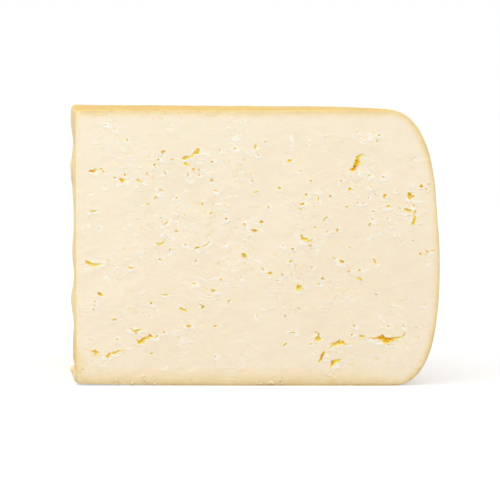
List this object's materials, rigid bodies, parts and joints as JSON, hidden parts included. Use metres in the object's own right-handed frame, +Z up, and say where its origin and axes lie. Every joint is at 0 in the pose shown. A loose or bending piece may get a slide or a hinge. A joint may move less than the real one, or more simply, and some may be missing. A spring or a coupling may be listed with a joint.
{
  "type": "pecorino cheese quarter wheel",
  "caption": "Quarter of a small wheel of pecorino standing on its base rind, with two cut faces full of small openings and a round golden rind.",
  "frame": {"origin": "middle of the bounding box, on the surface that the base rind stands on", "axes": "+Z up along the wheel's axis, -Y out of the near cut face, +X along that face from the tip to the rim"},
  "size_m": [0.1134, 0.1056, 0.0802],
  "materials": {
    "cheese": "matte pale ivory paste under a thin golden rind"
  },
  "bodies": {
    "root": {"pecorino": "cheese"}
  },
  "joints": []
}
